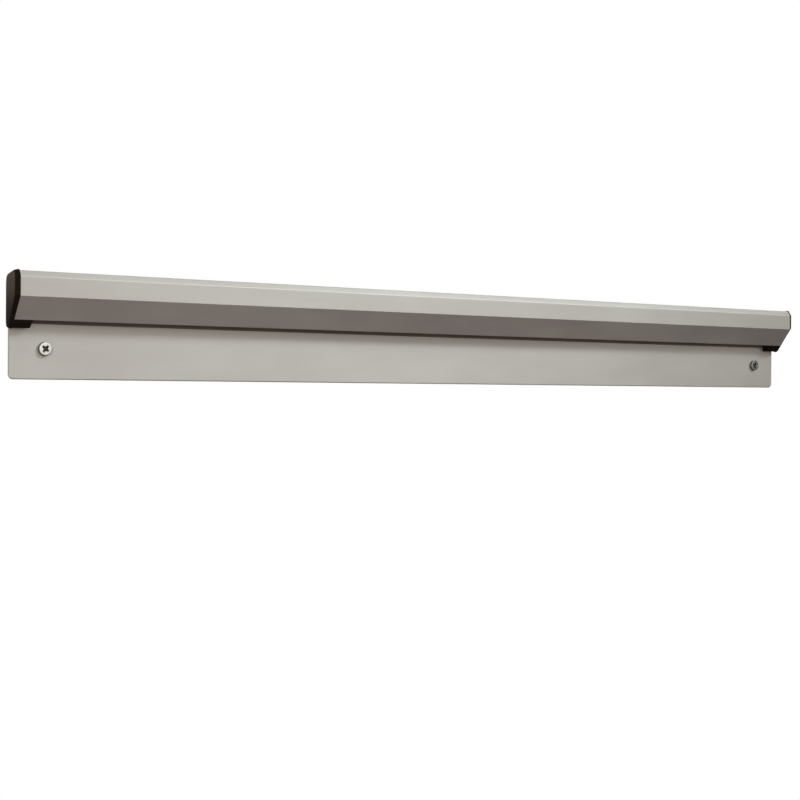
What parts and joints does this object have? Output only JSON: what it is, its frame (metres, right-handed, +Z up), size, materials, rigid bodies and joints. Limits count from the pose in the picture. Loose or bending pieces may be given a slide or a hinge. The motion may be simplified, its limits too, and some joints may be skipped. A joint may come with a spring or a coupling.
{
  "type": "order ticket rail",
  "caption": "Wall-mounted order rail: a hooded metal profile with end caps, whose sloping lip holds loose balls that grip paper slips pushed up under it.",
  "frame": {"origin": "on the plate's wall face, midway between the two screws", "axes": "+X along the rail to the viewer's right, +Y into the wall, +Z up; the fascia faces -Y"},
  "size_m": [0.6154, 0.0484, 0.0592],
  "materials": {
    "satin_aluminium": "satin, finely brushed along the rail",
    "black_plastic": "moulded, satin black",
    "black_rubber": "matt",
    "zinc_steel": "bright zinc plated",
    "glass_ball": "polished glass"
  },
  "bodies": {
    "rail": {"rail_body": "satin_aluminium", "grip_strip": "black_rubber", "end_cap_left": "black_plastic", "end_cap_right": "black_plastic", "screw_left": "zinc_steel", "screw_right": "zinc_steel"},
    "ball_01": {"ball_01": "glass_ball"},
    "ball_02": {"ball_02": "glass_ball"},
    "ball_03": {"ball_03": "glass_ball"},
    "ball_04": {"ball_04": "glass_ball"},
    "ball_05": {"ball_05": "glass_ball"},
    "ball_06": {"ball_06": "glass_ball"},
    "ball_07": {"ball_07": "glass_ball"},
    "ball_08": {"ball_08": "glass_ball"},
    "ball_09": {"ball_09": "glass_ball"},
    "ball_10": {"ball_10": "glass_ball"},
    "ball_11": {"ball_11": "glass_ball"},
    "ball_12": {"ball_12": "glass_ball"},
    "ball_13": {"ball_13": "glass_ball"},
    "ball_14": {"ball_14": "glass_ball"},
    "ball_15": {"ball_15": "glass_ball"},
    "ball_16": {"ball_16": "glass_ball"},
    "ball_17": {"ball_17": "glass_ball"},
    "ball_18": {"ball_18": "glass_ball"},
    "ball_19": {"ball_19": "glass_ball"},
    "ball_20": {"ball_20": "glass_ball"},
    "ball_21": {"ball_21": "glass_ball"},
    "ball_22": {"ball_22": "glass_ball"},
    "ball_23": {"ball_23": "glass_ball"},
    "ball_24": {"ball_24": "glass_ball"}
  },
  "joints": [
    {"name": "ball_01_lift", "type": "slide", "parent": "rail", "child": "ball_01", "axis": [0, -0.5969, 0.8023], "range_m": [0, 0.0076]},
    {"name": "ball_02_lift", "type": "slide", "parent": "rail", "child": "ball_02", "axis": [0, -0.5969, 0.8023], "range_m": [0, 0.0076]},
    {"name": "ball_03_lift", "type": "slide", "parent": "rail", "child": "ball_03", "axis": [0, -0.5969, 0.8023], "range_m": [0, 0.0076]},
    {"name": "ball_04_lift", "type": "slide", "parent": "rail", "child": "ball_04", "axis": [0, -0.5969, 0.8023], "range_m": [0, 0.0076]},
    {"name": "ball_05_lift", "type": "slide", "parent": "rail", "child": "ball_05", "axis": [0, -0.5969, 0.8023], "range_m": [0, 0.0076]},
    {"name": "ball_06_lift", "type": "slide", "parent": "rail", "child": "ball_06", "axis": [0, -0.5969, 0.8023], "range_m": [0, 0.0076]},
    {"name": "ball_07_lift", "type": "slide", "parent": "rail", "child": "ball_07", "axis": [0, -0.5969, 0.8023], "range_m": [0, 0.0076]},
    {"name": "ball_08_lift", "type": "slide", "parent": "rail", "child": "ball_08", "axis": [0, -0.5969, 0.8023], "range_m": [0, 0.0076]},
    {"name": "ball_09_lift", "type": "slide", "parent": "rail", "child": "ball_09", "axis": [0, -0.5969, 0.8023], "range_m": [0, 0.0076]},
    {"name": "ball_10_lift", "type": "slide", "parent": "rail", "child": "ball_10", "axis": [0, -0.5969, 0.8023], "range_m": [0, 0.0076]},
    {"name": "ball_11_lift", "type": "slide", "parent": "rail", "child": "ball_11", "axis": [0, -0.5969, 0.8023], "range_m": [0, 0.0076]},
    {"name": "ball_12_lift", "type": "slide", "parent": "rail", "child": "ball_12", "axis": [0, -0.5969, 0.8023], "range_m": [0, 0.0076]},
    {"name": "ball_13_lift", "type": "slide", "parent": "rail", "child": "ball_13", "axis": [0, -0.5969, 0.8023], "range_m": [0, 0.0076]},
    {"name": "ball_14_lift", "type": "slide", "parent": "rail", "child": "ball_14", "axis": [0, -0.5969, 0.8023], "range_m": [0, 0.0076]},
    {"name": "ball_15_lift", "type": "slide", "parent": "rail", "child": "ball_15", "axis": [0, -0.5969, 0.8023], "range_m": [0, 0.0076]},
    {"name": "ball_16_lift", "type": "slide", "parent": "rail", "child": "ball_16", "axis": [0, -0.5969, 0.8023], "range_m": [0, 0.0076]},
    {"name": "ball_17_lift", "type": "slide", "parent": "rail", "child": "ball_17", "axis": [0, -0.5969, 0.8023], "range_m": [0, 0.0076]},
    {"name": "ball_18_lift", "type": "slide", "parent": "rail", "child": "ball_18", "axis": [0, -0.5969, 0.8023], "range_m": [0, 0.0076]},
    {"name": "ball_19_lift", "type": "slide", "parent": "rail", "child": "ball_19", "axis": [0, -0.5969, 0.8023], "range_m": [0, 0.0076]},
    {"name": "ball_20_lift", "type": "slide", "parent": "rail", "child": "ball_20", "axis": [0, -0.5969, 0.8023], "range_m": [0, 0.0076]},
    {"name": "ball_21_lift", "type": "slide", "parent": "rail", "child": "ball_21", "axis": [0, -0.5969, 0.8023], "range_m": [0, 0.0076]},
    {"name": "ball_22_lift", "type": "slide", "parent": "rail", "child": "ball_22", "axis": [0, -0.5969, 0.8023], "range_m": [0, 0.0076]},
    {"name": "ball_23_lift", "type": "slide", "parent": "rail", "child": "ball_23", "axis": [0, -0.5969, 0.8023], "range_m": [0, 0.0076]},
    {"name": "ball_24_lift", "type": "slide", "parent": "rail", "child": "ball_24", "axis": [0, -0.5969, 0.8023], "range_m": [0, 0.0076]}
  ]
}
